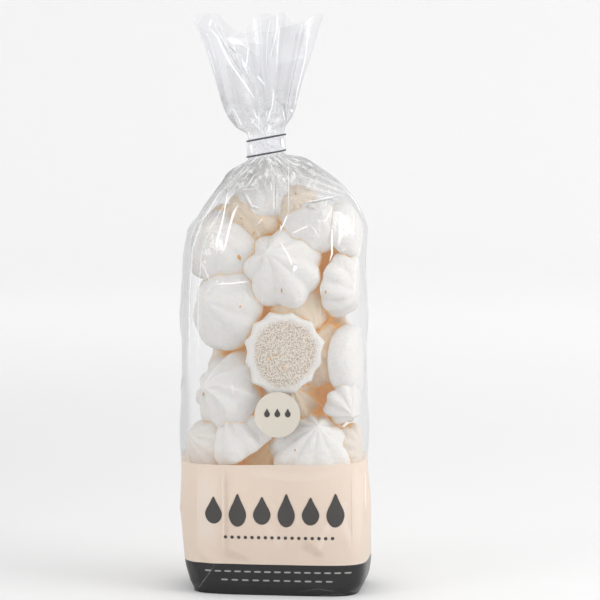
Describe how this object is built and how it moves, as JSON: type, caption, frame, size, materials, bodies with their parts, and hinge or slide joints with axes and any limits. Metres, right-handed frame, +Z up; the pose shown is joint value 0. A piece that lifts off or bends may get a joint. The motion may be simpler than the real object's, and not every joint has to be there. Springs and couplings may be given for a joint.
{
  "type": "bag of meringue cookies",
  "caption": "Sealed clear film bag filled with white piped meringue cookies, printed cream band and dark foot, neck tied under a pleated frill.",
  "frame": {"origin": "centre of the flat base the bag stands on", "axes": "+Z up along the standing bag, front with the printed spot faces -Y, +X to the right of the front"},
  "size_m": [0.1056, 0.0653, 0.314],
  "materials": {
    "clear_film": "clear glossy cellophane film",
    "meringue": "matt dry baked meringue",
    "cream_print": "satin printed film",
    "dark_print": "satin printed film",
    "spot_print": "satin printed film",
    "tie_film": "clear ribbon",
    "tie_wire": "dark coated wire"
  },
  "bodies": {
    "root": {"bag_foot": "dark_print", "bag_band": "cream_print", "bag_body": "clear_film", "bag_frill": "clear_film", "tie_band": "tie_film", "tie_wire_lower": "tie_wire", "tie_wire_upper": "tie_wire", "spot": "spot_print"}
  },
  "joints": []
}
